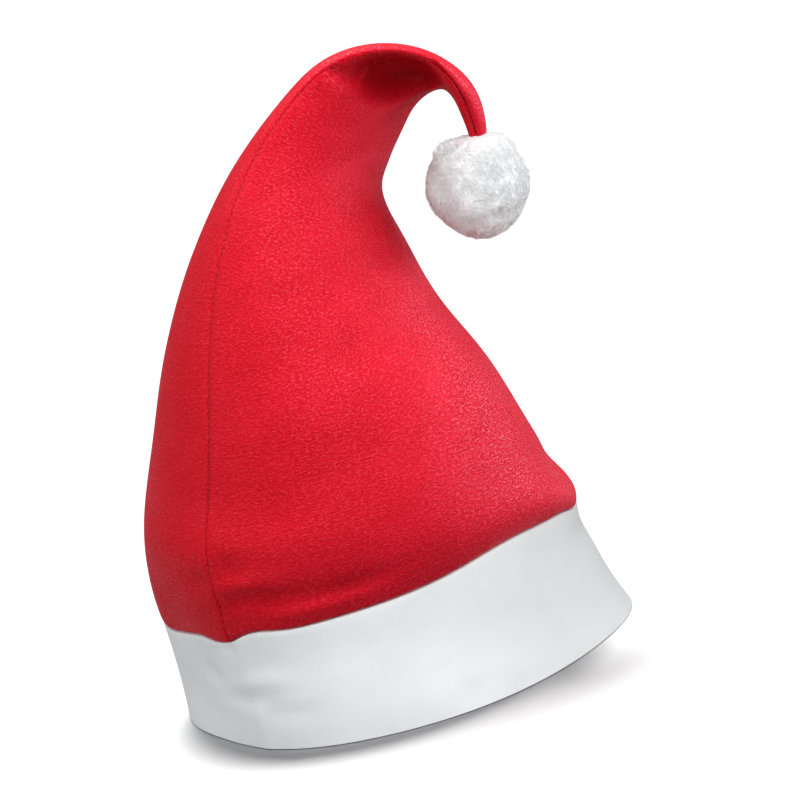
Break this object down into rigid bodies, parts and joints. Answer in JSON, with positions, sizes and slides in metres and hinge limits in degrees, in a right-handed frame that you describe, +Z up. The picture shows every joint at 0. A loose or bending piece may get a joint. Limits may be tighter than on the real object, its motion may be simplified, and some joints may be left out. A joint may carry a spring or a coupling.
{
  "type": "santa hat",
  "caption": "Soft felt hat with a bent cone crown sewn from two panels, a plain white band round the rim and a fluffy pompom at the drooping tip.",
  "frame": {"origin": "middle of the hat's footprint on the surface that its rim stands on", "axes": "+Z up through the crown, +X towards the side that the tip droops to, -Y towards the side that shows the ridge seam"},
  "size_m": [0.2, 0.2002, 0.2614],
  "materials": {
    "red_felt": "brushed felt, bright red",
    "white_felt": "brushed felt, cool white",
    "white_pile": "matted fluffy pile, white"
  },
  "bodies": {
    "root": {"crown_front_panel": "red_felt", "crown_back_panel": "red_felt", "band": "white_felt", "pompom": "white_pile"}
  },
  "joints": []
}
